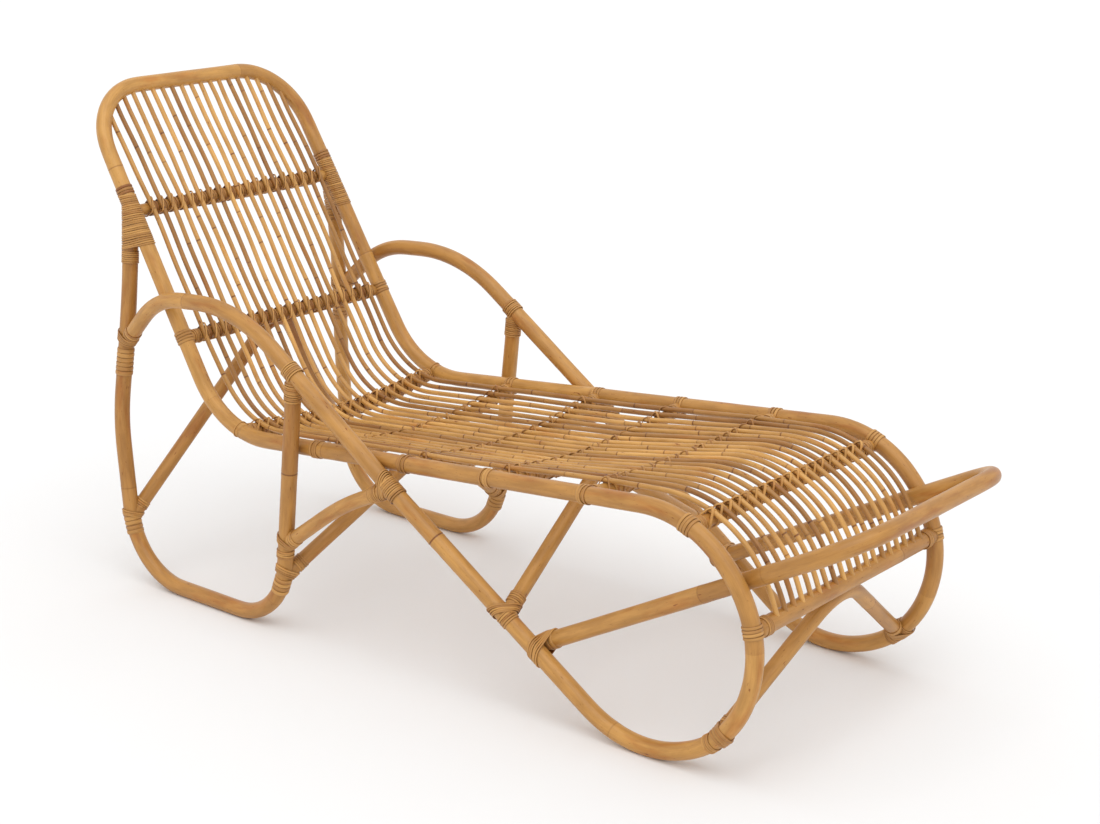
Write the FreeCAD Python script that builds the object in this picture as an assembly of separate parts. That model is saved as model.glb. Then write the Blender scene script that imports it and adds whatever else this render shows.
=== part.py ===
import FreeCAD, Part
import math
import os

# A rattan sun lounger: bent cane poles, lashed together with cane strip, carry a deck of
# thin rods that runs from the top of the back, over the seat, down to a toe bar.
# Millimetres and degrees. +X points to the foot end, +Y to the sitter's left, +Z up.
# The origin is on the floor, under the middle of the overall length.

Vector = FreeCAD.Vector

# Round sections
pole_diameter = 30.0
brace_diameter = 27.0
bar_diameter = 24.0
rod_diameter = 9.2
dowel_diameter = 10.0
dowel_length = 60.0
screw_diameter = 4.0
screw_head_diameter = 8.0
screw_head_depth = 3.0
screw_grip = 28.0

# Clearances and flats
joint_clearance = 0.3
crossing_gap = 1.0
bar_cope_depth = 5.0
floor_flat_depth = 0.6

# Side view: the lines of the back and the seat meet at the knee
knee_height = 343.0
knee_radius = 190.0
seat_rise = 4.9
back_recline = 30.8
back_length = 712.0
back_corner_radius = 130.0
rail_joint_turn = 19.0

# Foot loop, diagonal and arm of each side pole
loop_reach = 1007.0
loop_corner_count = 4
loop_arc_share = 0.97
spread_before_crossing = 60.0
spread_radius = 1500.0
arm_front_forward = 93.94
arm_front_height = 608.0
arm_rear_height = 594.0
arm_front_radius = 430.0
arm_rear_radius = 185.0
arm_rear_set_back = 129.0

# Half widths, measured to the axis of the pole
back_half_width = 258.0
joint_half_width = 268.0
loop_half_width = 280.0

# Leg hoops, placed forward of the knee
leg_top_distance = 476.0
leg_neck_forward = -234.0
leg_neck_height = 610.0
leg_neck_half_width = 278.0
arm_joint_height = 485.0
leg_bulge_forward = -260.0
leg_bulge_height = 334.0
rear_foot_forward = -237.0
front_foot_forward = 178.0
leg_neck_radius = 1500.0
leg_bulge_radius = 600.0
rear_foot_radius = 141.0
front_foot_radius = 132.0
leg_joint_from_arm = 173.4

# Corner braces
brace_foot_height = 176.0
brace_joint_from_arm = 459.4
brace_corner_forward = 345.0
brace_corner_height = 286.0
brace_radius = 600.0

# Foot bow
bow_joint_on_diagonal = 240.0
bow_reach = 1366.0
bow_height = 435.0
bow_radius = 100.0
bow_gap = 5.0
bow_overrun = 14.0

# Arches that prop the bars: crown radius, place of the feet, and lean of the crown from below
rear_arch_radius = 45.0
mid_arch_radius = 60.0
seat_arch_radius = 55.0
front_arch_radius = 110.0
rear_arch_foot_height = 129.0
mid_arch_foot_height = 112.0
seat_arch_on_diagonal = 313.0
front_arch_loop_angle = -47.0
rear_arch_lean = -59.0
mid_arch_lean = 41.0
seat_arch_lean = 56.0
front_arch_lean = -29.0

# Crossbars: drop below the leg's top, distance from the knee, share of the reach of the foot
# loop, or angle round it, and sag at the middle
upper_back_bar_drop = 14.0
lower_back_bar_distance = 198.0
back_bar_set_back = 8.0
seat_bar_shares = (0.2562, 0.4757, 0.6673, 0.8769)
seat_bar_sags = (38.0, 38.0, 35.0, 18.0)
front_bar_angle = 68.0
front_bar_inset = 8.0
toe_bar_angle = 13.0

# Deck of rods
rod_count = 19
rod_pitch = 24.7
rod_socket_depth = 12.0
rod_knee_radius = 168.0
rod_bend_radius = 60.0
rod_toe_turn = 8.0

# Cane strip
strip_thickness = 2.2
strip_slack = 0.5
binding_thickness = 1.6
binding_gap = 1.0
seat_tie_width = 7.0
lashing_length = 34.0
long_lashing_length = 50.0
back_leg_lashing_length = 120.0
leg_lashing_drop = 28.0
lashing_reach = 16.0

# Worked out from the sizes above
pole_radius = pole_diameter / 2
axis_height = pole_radius - floor_flat_depth
bar_to_rod = (bar_diameter + rod_diameter) / 2 + joint_clearance
collar_start = pole_radius / 2
smallest_turn = math.radians(0.02)

# Share of a straight run that the bend at one end of it may take
end_run_share = 0.95
inner_run_share = 0.49


def heading(angle):
    """Unit vector in the side view, turned up from +X by the angle."""
    return Vector(math.cos(math.radians(angle)), 0, math.sin(math.radians(angle)))


def unit(vector):
    return Vector(vector).normalize()


def at_width(point, y):
    return Vector(point.x, y, point.z)


def mirrored(point):
    return Vector(point.x, -point.y, point.z)


def lines_meet(first, first_heading, second, second_heading):
    """Side-view meeting point of two lines, at the width of the first."""
    across = first_heading.z * second_heading.x - first_heading.x * second_heading.z
    between = second - first
    distance = (between.z * second_heading.x - between.x * second_heading.z) / across
    return first + first_heading * distance


def arc_corner(center, radius, from_angle, to_angle):
    """Corner where the tangents at the two ends of an arc meet."""
    half_turn = math.radians(abs(from_angle - to_angle)) / 2
    return center + heading((from_angle + to_angle) / 2) * (radius / math.cos(half_turn))


def bent_path(points, radii):
    """Straight runs between the points, with a tangent arc at each inner point."""
    edges = []
    start = points[0]
    inner = zip(points, points[1:], points[2:], radii)
    for number, (before, corner, after, radius) in enumerate(inner):
        to_before = unit(before - corner)
        to_after = unit(after - corner)
        half_turn = (math.pi - to_before.getAngle(to_after)) / 2
        if half_turn < smallest_turn:
            continue
        room_before = (before - corner).Length * (end_run_share if number == 0 else inner_run_share)
        is_last = number == len(radii) - 1
        room_after = (after - corner).Length * (end_run_share if is_last else inner_run_share)
        set_back = min(radius * math.tan(half_turn), room_before, room_after)
        bend_radius = set_back / math.tan(half_turn)
        inward = unit(to_before + to_after)
        arc_start = corner + to_before * set_back
        arc_middle = corner + inward * (bend_radius / math.cos(half_turn) - bend_radius)
        arc_end = corner + to_after * set_back
        edges.append(Part.LineSegment(start, arc_start).toShape())
        edges.append(Part.Arc(arc_start, arc_middle, arc_end).toShape())
        start = arc_end
    edges.append(Part.LineSegment(start, points[-1]).toShape())
    return Part.Wire(edges)


def swept_round(path, diameter):
    first = path.OrderedEdges[0]
    origin = first.valueAt(first.FirstParameter)
    ring = Part.makeCircle(diameter / 2, origin, first.tangentAt(first.FirstParameter))
    return path.makePipeShell([Part.Wire(ring)], True, False)


def grown(path, diameter):
    """The room that a round pole takes, with the joint clearance round it."""
    return swept_round(path, diameter + 2 * joint_clearance)


def mirror_solid(shape):
    return shape.mirror(Vector(0, 0, 0), Vector(0, 1, 0))


def both_sides(shape):
    return [shape, mirror_solid(shape)]


def mirrored_pairs(shapes):
    return shapes + [mirror_solid(shape) for shape in shapes]


def largest_solid(shape):
    return max(shape.Solids, key=lambda solid: solid.Volume)


def cut_all(shape, tools):
    """The main solid that is left when every tool that reaches the shape is cut from it."""
    near = [tool for tool in tools if tool.BoundBox.intersect(shape.BoundBox)]
    return largest_solid(shape.cut(near)) if near else shape


# Side-view layout
knee_x = (back_length * math.sin(math.radians(back_recline)) - bow_reach) / 2
knee = Vector(knee_x, 0, knee_height)
seat_heading = heading(seat_rise)
back_heading = heading(90 + back_recline)
under_seat = heading(seat_rise - 90)
behind_back = heading(180 + back_recline)

knee_turn = 90 - back_recline + seat_rise
knee_center = knee - (under_seat + behind_back).normalize() * (
    knee_radius / math.cos(math.radians(knee_turn) / 2))
seat_end_angle = 270 + seat_rise
rail_joint_angle = seat_end_angle - rail_joint_turn
rail_joint = at_width(knee_center + heading(rail_joint_angle) * knee_radius, joint_half_width)
back_knee = at_width(
    arc_corner(knee_center, knee_radius, 180 + back_recline, rail_joint_angle), joint_half_width)
seat_knee = at_width(
    arc_corner(knee_center, knee_radius, rail_joint_angle, seat_end_angle), joint_half_width)
back_corner = at_width(knee + back_heading * back_length, back_half_width)

rise = math.radians(seat_rise)
seat_height_at_loop = knee_height + loop_reach * math.tan(rise)
loop_radius = (seat_height_at_loop - axis_height) * math.cos(rise) / (1 + math.cos(rise))
loop_center = Vector(knee_x + loop_reach, loop_half_width, axis_height + loop_radius)
arm_front_side = Vector(knee_x + arm_front_forward, loop_half_width, arm_front_height)
to_arm_front = arm_front_side - loop_center
tangent_turn = math.acos(loop_radius / to_arm_front.Length) + math.atan2(to_arm_front.z, to_arm_front.x)
diagonal_slope = 270 - math.degrees(tangent_turn)
loop_turn = (180 + seat_rise + diagonal_slope) / loop_corner_count
loop_start_angle = 90 + seat_rise
loop_corners = []
for number in range(loop_corner_count):
    corner_start = loop_start_angle - number * loop_turn
    loop_corners.append(arc_corner(loop_center, loop_radius, corner_start, corner_start - loop_turn))


def rail_at(distance):
    """Point on the left seat rail's axis, at a distance from the knee along the seat."""
    along = (seat_heading * distance + knee - at_width(seat_knee, 0)).x
    return seat_knee + (loop_corners[0] - seat_knee) * (along / (loop_corners[0].x - seat_knee.x))


def back_rail_at(distance):
    """Point on the left back rail's axis, at a distance from the knee along the back."""
    height = knee.z + back_heading.z * distance
    share = (height - back_knee.z) / (back_corner.z - back_knee.z)
    return back_knee + (back_corner - back_knee) * share


diagonal_heading = heading(180 - diagonal_slope)
crossing = lines_meet(loop_corners[-1], diagonal_heading, seat_knee, seat_heading)
crossing_distance = (crossing - loop_corners[-1]).Length
spread_distance = crossing_distance - spread_before_crossing
rail_width_at_crossing = rail_at((at_width(crossing, 0) - knee).Length).y
arm_half_width = rail_width_at_crossing + pole_diameter + crossing_gap


def diagonal_at(distance):
    """Point on the left diagonal's axis, at a distance from the last corner of the loop."""
    share = min(1.0, distance / spread_distance)
    width = loop_half_width + (arm_half_width - loop_half_width) * share
    return at_width(loop_corners[-1] + diagonal_heading * distance, width)


def forward_of_knee(forward, height, width):
    return Vector(knee_x + forward, width, height)


# Axes of the left-hand poles
arm_front_distance = (arm_front_side - loop_corners[-1]).Length
arm_front = diagonal_at(arm_front_distance)
arm_rear = forward_of_knee(-arm_rear_set_back, arm_rear_height, arm_half_width)
leg_joint = diagonal_at(arm_front_distance - leg_joint_from_arm)
rear_foot = forward_of_knee(rear_foot_forward, axis_height, arm_half_width)
front_foot = forward_of_knee(front_foot_forward, axis_height, arm_half_width)
leg_bulge = forward_of_knee(leg_bulge_forward, leg_bulge_height, arm_half_width)
leg_neck = forward_of_knee(leg_neck_forward, leg_neck_height, leg_neck_half_width)
leg_top = back_rail_at(leg_top_distance)


def point_at_height(low, high, height):
    return low + (high - low) * ((height - low.z) / (high.z - low.z))


arm_joint = point_at_height(leg_bulge, leg_neck, arm_joint_height)


def back_hoop_path():
    points = [rail_joint, back_knee, back_corner]
    points += [mirrored(point) for point in reversed(points)]
    corner_radii = [knee_radius, back_corner_radius, back_corner_radius, knee_radius]
    return bent_path(points, corner_radii)


def rail_and_loop_points():
    return [rail_joint, seat_knee] + loop_corners + [diagonal_at(spread_distance), arm_front]


def rail_and_loop_radii():
    loop_radii = [loop_radius * loop_arc_share] * loop_corner_count
    return [knee_radius] + loop_radii + [spread_radius]


def side_pole_path():
    points = rail_and_loop_points() + [arm_rear, arm_joint]
    return bent_path(points, rail_and_loop_radii() + [arm_front_radius, arm_rear_radius])


def rail_to_arm_path():
    """The side pole up to the middle of the arm, with the same bend at the arm's front."""
    arm_middle = arm_front + (arm_rear - arm_front) * (inner_run_share / end_run_share)
    points = rail_and_loop_points() + [arm_middle]
    return bent_path(points, rail_and_loop_radii() + [arm_front_radius])


def arm_path():
    points = [diagonal_at(spread_distance), arm_front, arm_rear, arm_joint]
    return bent_path(points, [arm_front_radius, arm_rear_radius])


def rear_leg_path():
    points = [leg_top, leg_neck, leg_bulge, rear_foot]
    return bent_path(points, [leg_neck_radius, leg_bulge_radius])


def leg_hoop_path():
    points = [leg_top, leg_neck, leg_bulge, rear_foot, front_foot, leg_joint]
    radii = [leg_neck_radius, leg_bulge_radius, rear_foot_radius, front_foot_radius]
    return bent_path(points, radii)


brace_foot = point_at_height(front_foot, leg_joint, brace_foot_height)
brace_joint = diagonal_at(arm_front_distance - brace_joint_from_arm)


def brace_path():
    corner = forward_of_knee(brace_corner_forward, brace_corner_height, arm_half_width)
    return bent_path([brace_foot, corner, brace_joint], [brace_radius])


# The bow's arms lie against the inside of the diagonals and pass inside the foot loops
bow_half_width = loop_half_width - pole_diameter - bow_gap
bow_front = forward_of_knee(bow_reach, bow_height, bow_half_width)
bow_lap = diagonal_at(bow_joint_on_diagonal)
bow_joint = at_width(bow_lap, bow_lap.y - pole_diameter - crossing_gap)


def bow_path():
    bow_end = bow_joint + unit(bow_joint - bow_front) * bow_overrun
    points = [bow_end, bow_front, mirrored(bow_front), mirrored(bow_end)]
    return bent_path(points, [bow_radius, bow_radius])


class Crossbar:
    """A bar between the rails: a point of the left rail, the bar's end beside it, and its sag."""

    def __init__(self, rail_point, end, away, sag, diameter=bar_diameter):
        self.rail_point = rail_point
        self.end = end
        self.away = away
        self.sag = sag
        self.diameter = diameter

    def depth_at(self, y):
        if self.sag == 0:
            return 0.0
        curve = (self.end.y ** 2 + self.sag ** 2) / (2 * self.sag)
        return self.sag - curve + math.sqrt(curve ** 2 - y ** 2)

    def axis_at(self, y):
        return at_width(self.end, y) + self.away * self.depth_at(y)

    def rod_at(self, y):
        """Axis of a rod that lies on the bar at this width, clear of it also where the bar slopes."""
        return self.axis_at(y) - self.away * (bar_to_rod / self.run_at(y).y)

    def path(self):
        half_length = self.end.y - pole_radius + bar_cope_depth
        ends = (self.axis_at(-half_length), self.axis_at(half_length))
        if self.sag == 0:
            return Part.Wire([Part.LineSegment(*ends).toShape()])
        return Part.Wire([Part.Arc(ends[0], self.axis_at(0), ends[1]).toShape()])

    def run_at(self, y):
        """Unit vector along the bar, towards its left end."""
        step = rod_diameter / 2
        return unit(self.axis_at(y + step) - self.axis_at(y - step))

    def solid(self):
        return swept_round(self.path(), self.diameter)

    def room(self):
        return grown(self.path(), self.diameter)


def back_bar(distance):
    rail_point = back_rail_at(distance)
    return Crossbar(rail_point, rail_point + behind_back * back_bar_set_back, behind_back, 0)


def loop_bar(angle, inset, diameter):
    rail_point = loop_center + heading(angle) * loop_radius
    return Crossbar(rail_point, rail_point - heading(angle) * inset, heading(angle + 180), 0, diameter)


upper_back_bar = back_bar(leg_top_distance - upper_back_bar_drop)
lower_back_bar = back_bar(lower_back_bar_distance)
seat_bars = []
for share, sag in zip(seat_bar_shares, seat_bar_sags):
    bar_end = rail_at(share * loop_reach)
    seat_bars.append(Crossbar(bar_end, bar_end, under_seat, sag))
front_bar = loop_bar(front_bar_angle, front_bar_inset, bar_diameter)
toe_bar = loop_bar(toe_bar_angle, 0, pole_diameter)


def rod_knee_at(y):
    """Corner of a rod's axis, where its back run meets its seat run."""
    back_run = unit(lower_back_bar.rod_at(y) - upper_back_bar.rod_at(y))
    seat_run = unit(seat_bars[1].rod_at(y) - seat_bars[0].rod_at(y))
    return lines_meet(upper_back_bar.rod_at(y), back_run, seat_bars[0].rod_at(y), seat_run)


def knee_bar_axis_at(y):
    """Axis of the bar under the knee, on the outside of the rods' bend."""
    corner = rod_knee_at(y)
    to_back = unit(upper_back_bar.rod_at(y) - corner)
    to_seat = unit(seat_bars[0].rod_at(y) - corner)
    half_turn = (math.pi - to_back.getAngle(to_seat)) / 2
    center = corner + unit(to_back + to_seat) * (rod_knee_radius / math.cos(half_turn))
    return center + heading(rail_joint_angle) * (rod_knee_radius + bar_to_rod)


knee_bar_end = knee_bar_axis_at(joint_half_width)
knee_bar_sag = (knee_bar_axis_at(0) - knee_bar_end).dot(heading(rail_joint_angle))
knee_bar = Crossbar(rail_joint, knee_bar_end, heading(rail_joint_angle), knee_bar_sag)


rod_front_radius = loop_radius - front_bar_inset + bar_to_rod


def hoop_distance_at(y):
    """Distance along the back of the hoop's axis, at a width."""
    into_corner = abs(y) - (back_half_width - back_corner_radius)
    if into_corner <= 0:
        return back_length
    return back_length - back_corner_radius + math.sqrt(back_corner_radius ** 2 - into_corner ** 2)


def rod_front_points(last_seat_point):
    """Corners of a rod's axis where it curves over the front bar, and its end in the toe bar."""
    center = at_width(loop_center, last_seat_point.y)
    outward = last_seat_point - center
    start = math.degrees(math.atan2(outward.z, outward.x) - math.acos(rod_front_radius / outward.Length))
    stop = toe_bar_angle + rod_toe_turn
    half_way = (start + stop) / 2
    end = center + heading(toe_bar_angle) * rod_front_radius
    return [
        arc_corner(center, rod_front_radius, start, half_way),
        arc_corner(center, rod_front_radius, half_way, stop),
        end + heading(toe_bar_angle + 90) * (pole_radius - rod_socket_depth),
    ]


def rod_points(y):
    top = hoop_distance_at(y) - pole_radius + rod_socket_depth
    over_bars = [bar.rod_at(y) for bar in seat_bars[1:]]
    return [
        at_width(knee + back_heading * top, y),
        upper_back_bar.rod_at(y),
        rod_knee_at(y),
        *over_bars,
        *rod_front_points(over_bars[-1]),
    ]


def rod_path(y):
    over_bars = [rod_bend_radius] * len(seat_bars[1:])
    radii = [rod_bend_radius, rod_knee_radius, *over_bars, rod_front_radius, rod_front_radius]
    return bent_path(rod_points(y), radii)


def rod_sockets(y):
    """Holes that take the two ends of a rod, in the back hoop and in the toe bar."""
    points = rod_points(y)
    holes = []
    for tip, inner in ((points[0], points[1]), (points[-1], points[-2])):
        run = unit(inner - tip)
        start = tip - run * joint_clearance
        radius = rod_diameter / 2 + joint_clearance
        holes.append(Part.makeCylinder(radius, pole_diameter, start, run))
    return holes


# Arches: two straight legs and a round crown that props a bar from below
def arch_path(foot, crown, radius):
    """Axis of an arch from its left foot, over its crown, to its right foot."""
    middle = at_width(foot, 0)
    rise_vector = crown - middle
    center_height = rise_vector.Length - radius
    reach = math.hypot(foot.y, center_height)
    leg_angle = math.atan2(center_height, foot.y) + math.asin(radius / reach)
    corner = middle + unit(rise_vector) * (foot.y * math.tan(leg_angle))
    return bent_path([foot, corner, mirrored(foot)], [radius])


def crown_under(bar, lean, cover):
    """Top of an arch's axis, below a bar that has a cover of cane strip."""
    reach = (bar.diameter + brace_diameter) / 2 + cover + joint_clearance
    return bar.axis_at(0) + heading(lean - 90) * reach


rear_arch_foot = point_at_height(rear_foot, leg_bulge, rear_arch_foot_height)
mid_arch_foot = point_at_height(front_foot, leg_joint, mid_arch_foot_height)
seat_arch_foot = diagonal_at(seat_arch_on_diagonal)
front_arch_foot = loop_center + heading(front_arch_loop_angle) * loop_radius

strip_cover = binding_thickness + joint_clearance
rear_crown = crown_under(lower_back_bar, rear_arch_lean, strip_cover)
mid_crown = crown_under(seat_bars[0], mid_arch_lean, strip_cover)
seat_crown = crown_under(seat_bars[2], seat_arch_lean, strip_cover)
front_crown = crown_under(toe_bar, front_arch_lean, 0)

arch_paths = {
    "rear_arch": arch_path(rear_arch_foot, rear_crown, rear_arch_radius),
    "mid_arch": arch_path(mid_arch_foot, mid_crown, mid_arch_radius),
    "seat_arch": arch_path(seat_arch_foot, seat_crown, seat_arch_radius),
    "front_arch": arch_path(front_arch_foot, front_crown, front_arch_radius),
}

# Room that each pole takes in the joints. Inside a lashing, a pole that meets another of its own
# size has a little slack, because two rooms of one radius can't be cut cleanly where they cross
back_hoop_room = grown(back_hoop_path(), pole_diameter)
rail_room = grown(rail_to_arm_path(), pole_diameter)
slack_arm_room = grown(arm_path(), pole_diameter + strip_slack)
rear_leg_room = grown(rear_leg_path(), pole_diameter)
leg_room = grown(leg_hoop_path(), pole_diameter)
slack_leg_room = grown(leg_hoop_path(), pole_diameter + strip_slack)
brace_room = grown(brace_path(), brace_diameter)
bow_room = grown(bow_path(), pole_diameter)
arch_rooms = {name: grown(path, brace_diameter) for name, path in arch_paths.items()}

crossbars = {
    "upper_back_bar": upper_back_bar,
    "lower_back_bar": lower_back_bar,
    "knee_bar": knee_bar,
    "seat_bar_1": seat_bars[0],
    "seat_bar_2": seat_bars[1],
    "seat_bar_3": seat_bars[2],
    "seat_bar_4": seat_bars[3],
    "front_bar": front_bar,
    "toe_bar": toe_bar,
}


# Screws that fix the bars to the rails, and dowels in the butt joints of the rails
# The bar at the knee has none, because the dowel of the joint is in the way
def crossbar_screw(bar, extra, head_depth):
    """Screw in the left end of a bar; extra and a deeper head turn it into its hole."""
    inward = bar.run_at(bar.end.y - bar.diameter / 2) * -1
    seat = bar.rail_point - inward * (pole_radius - 2 * screw_head_depth - extra)
    head = Part.makeCylinder(screw_head_diameter / 2 + extra, head_depth, seat - inward * head_depth, inward)
    start = seat - inward * (screw_head_depth / 2)
    shank = Part.makeCylinder(screw_diameter / 2 + extra, pole_radius + screw_grip + extra, start, inward)
    return head.fuse(shank).removeSplitter()


def rail_dowel(extra):
    run = heading(rail_joint_angle + 90)
    start = rail_joint - run * (dowel_length / 2 + extra)
    return Part.makeCylinder(dowel_diameter / 2 + extra, dowel_length + 2 * extra, start, run)


screwed_bars = [bar for bar in crossbars.values() if bar is not knee_bar]
screws = [crossbar_screw(bar, 0, screw_head_depth) for bar in screwed_bars]
screw_holes = [crossbar_screw(bar, joint_clearance, pole_diameter) for bar in screwed_bars]
dowel_hole = rail_dowel(joint_clearance)
rod_widths = [(number - (rod_count - 1) / 2) * rod_pitch for number in range(rod_count)]
sockets = [rod_sockets(y) for y in rod_widths]


def below_floor():
    """Room below the floor line, which sands a flat under the poles that stand on it."""
    reach = bow_reach + back_length
    corner = Vector(-reach, -reach, -pole_diameter)
    return Part.makeBox(2 * reach, 2 * reach, pole_diameter, corner)


# Poles
def back_hoop():
    hoop = swept_round(back_hoop_path(), pole_diameter)
    top_sockets = [pair[0] for pair in sockets]
    side_holes = mirrored_pairs(screw_holes + [dowel_hole])
    return cut_all(hoop, top_sockets + side_holes)


def side_pole():
    bent = swept_round(side_pole_path(), pole_diameter)
    return cut_all(bent, [rear_leg_room, dowel_hole, below_floor()] + screw_holes)


def leg_hoop():
    rooms = [rail_room, back_hoop_room, upper_back_bar.room(), below_floor()]
    return cut_all(swept_round(leg_hoop_path(), pole_diameter), rooms)


def corner_brace():
    return cut_all(swept_round(brace_path(), brace_diameter), [leg_room, rail_room])


def foot_bow():
    return swept_round(bow_path(), pole_diameter)


def arch(name):
    return cut_all(swept_round(arch_paths[name], brace_diameter), mirrored_pairs([leg_room, rail_room]))


def crossbar(name):
    rooms = mirrored_pairs([rail_room] + screw_holes) + [back_hoop_room]
    if name == "toe_bar":
        rooms += [pair[1] for pair in sockets]
    return cut_all(crossbars[name].solid(), rooms)


# Lashings of cane strip
def strip_sleeve(point, run, length, diameter):
    radius = diameter / 2 + joint_clearance + strip_thickness
    return Part.makeCylinder(radius, length, point - run * (length / 2), run)


def tee_lashing(post_point, post_run, post_length, branch_run, branch_diameter, rooms):
    """Sleeve round a post with a collar round the branch that meets it."""
    sleeve = strip_sleeve(post_point, post_run, post_length, pole_diameter)
    collar_length = pole_radius - collar_start + lashing_reach
    collar_middle = post_point + branch_run * (collar_start + collar_length / 2)
    collar = strip_sleeve(collar_middle, branch_run, collar_length, branch_diameter)
    return cut_all(sleeve.fuse(collar), rooms)


def lap_lashing(first_point, first_run, second_point, second_run, length, rooms):
    """Sleeve round two poles that lie side by side."""
    first = strip_sleeve(first_point, first_run, length, pole_diameter)
    second = strip_sleeve(second_point, second_run, length, pole_diameter)
    return cut_all(first.fuse(second), rooms)


def bar_lashing(bar, post_run, post_length, rooms):
    inward = bar.run_at(bar.end.y - bar.diameter / 2) * -1
    return tee_lashing(bar.end, post_run, post_length, inward, bar.diameter, rooms + [bar.room()])


def seat_bar_lashings():
    shapes = []
    for bar in seat_bars:
        lashing = bar_lashing(bar, seat_heading, lashing_length, [rail_room])
        shapes += both_sides(lashing)
    return shapes


def loop_bar_lashing(bar, angle, length):
    return bar_lashing(bar, heading(angle + 90), length, [rail_room])


def back_leg_lashing():
    rail_point = back_rail_at(leg_top_distance - leg_lashing_drop)
    rail_run = unit(back_corner - back_knee)
    leg_run = unit(leg_neck - leg_top)
    leg_point = leg_top + leg_run * (collar_start + back_leg_lashing_length / 2)
    rooms = [back_hoop_room, slack_leg_room, upper_back_bar.room()]
    return lap_lashing(rail_point, rail_run, leg_point, leg_run, back_leg_lashing_length, rooms)


def bow_lashing():
    bow_run = unit(bow_front - bow_joint)
    diagonal_run = unit(bow_lap - loop_corners[-1])
    return lap_lashing(bow_lap, diagonal_run, bow_joint, bow_run, lashing_length, [rail_room, bow_room])


def arch_lashing(name, foot, post_run):
    path = arch_paths[name]
    away = path.OrderedEdges[0].tangentAt(path.OrderedEdges[0].FirstParameter)
    rooms = [leg_room, rail_room, arch_rooms[name]]
    return tee_lashing(foot, post_run, long_lashing_length, away, brace_diameter, rooms)


def brace_lashings():
    corner = forward_of_knee(brace_corner_forward, brace_corner_height, arm_half_width)
    rooms = [leg_room, rail_room, brace_room]
    leg_run = unit(leg_joint - front_foot)
    at_foot = tee_lashing(
        brace_foot, leg_run, lashing_length, unit(corner - brace_foot), brace_diameter, rooms)
    at_joint = tee_lashing(
        brace_joint, diagonal_heading, long_lashing_length, unit(corner - brace_joint),
        brace_diameter, rooms)
    return at_foot, at_joint


def arm_end_lashing():
    leg_run = unit(leg_neck - leg_bulge)
    arm_run = unit(arm_rear - arm_joint)
    rooms = [rear_leg_room, slack_arm_room]
    return tee_lashing(arm_joint, leg_run, long_lashing_length, arm_run, pole_diameter, rooms)


def leg_top_lashing():
    leg_run = unit(front_foot - leg_joint)
    rooms = [rail_room, slack_leg_room]
    return tee_lashing(
        leg_joint, diagonal_heading, lashing_length, leg_run, pole_diameter, rooms)


# Bindings that hold the rods on the bars: strip wound round the bar between the rods
def strip_ring(bar, y, width):
    run = bar.run_at(y)
    start = bar.axis_at(y) - run * (width / 2)
    inner = bar.diameter / 2 + joint_clearance
    outside = Part.makeCylinder(inner + binding_thickness, width, start, run)
    return outside.cut(Part.makeCylinder(inner, width, start, run))


def bindings(bars, width):
    rings = []
    for bar in bars:
        for number in range(1, rod_count):
            rings.append(strip_ring(bar, (number - rod_count / 2) * rod_pitch, width))
    return rings


# The nodes of the part
def frame_nodes():
    nodes = {"back_hoop": back_hoop(), "foot_bow": foot_bow()}
    pairs = {"side_pole": side_pole(), "leg_hoop": leg_hoop(), "corner_brace": corner_brace()}
    for name, left in pairs.items():
        nodes["left_" + name] = left
        nodes["right_" + name] = mirror_solid(left)
    for name in arch_paths:
        nodes[name] = arch(name)
    for name in crossbars:
        nodes[name] = crossbar(name)
    return nodes


def deck_nodes():
    nodes = {}
    for number, y in enumerate(rod_widths):
        nodes["rod_%02d" % (number + 1)] = swept_round(rod_path(y), rod_diameter)
    return nodes


def lashing_nodes():
    knee_run = heading(rail_joint_angle + 90)
    knee_rooms = [rail_room, back_hoop_room]
    leg_run = unit(leg_joint - front_foot)
    rear_leg_run = unit(leg_bulge - rear_foot)
    loop_run = heading(front_arch_loop_angle + 90)
    back_run = unit(back_corner - back_knee)
    brace_foot_lashing, brace_joint_lashing = brace_lashings()
    lower_back = bar_lashing(lower_back_bar, back_run, lashing_length, [back_hoop_room])
    left_hand = {
        "back_leg_lashings": back_leg_lashing(),
        "lower_back_bar_lashings": lower_back,
        "knee_bar_lashings": bar_lashing(knee_bar, knee_run, lashing_length, knee_rooms),
        "front_bar_lashings": loop_bar_lashing(front_bar, front_bar_angle, lashing_length),
        "toe_bar_lashings": loop_bar_lashing(toe_bar, toe_bar_angle, lashing_length),
        "arm_end_lashings": arm_end_lashing(),
        "leg_top_lashings": leg_top_lashing(),
        "rear_arch_lashings": arch_lashing("rear_arch", rear_arch_foot, rear_leg_run),
        "mid_arch_lashings": arch_lashing("mid_arch", mid_arch_foot, leg_run),
        "seat_arch_lashings": arch_lashing("seat_arch", seat_arch_foot, diagonal_heading),
        "front_arch_lashings": arch_lashing("front_arch", front_arch_foot, loop_run),
        "brace_foot_lashings": brace_foot_lashing,
        "brace_joint_lashings": brace_joint_lashing,
        "foot_bow_lashings": bow_lashing(),
    }
    nodes = {name: both_sides(left) for name, left in left_hand.items()}
    nodes["seat_bar_lashings"] = seat_bar_lashings()
    return nodes


def binding_nodes():
    full_width = rod_pitch - rod_diameter - 2 * binding_gap
    return {
        "back_bar_bindings": bindings([upper_back_bar, lower_back_bar], full_width),
        "bend_bar_bindings": bindings([knee_bar, front_bar], full_width),
        "seat_bar_bindings": bindings(seat_bars, seat_tie_width),
    }


def hidden_nodes():
    return {"crossbar_screws": mirrored_pairs(screws), "rail_dowels": both_sides(rail_dowel(0))}


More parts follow.
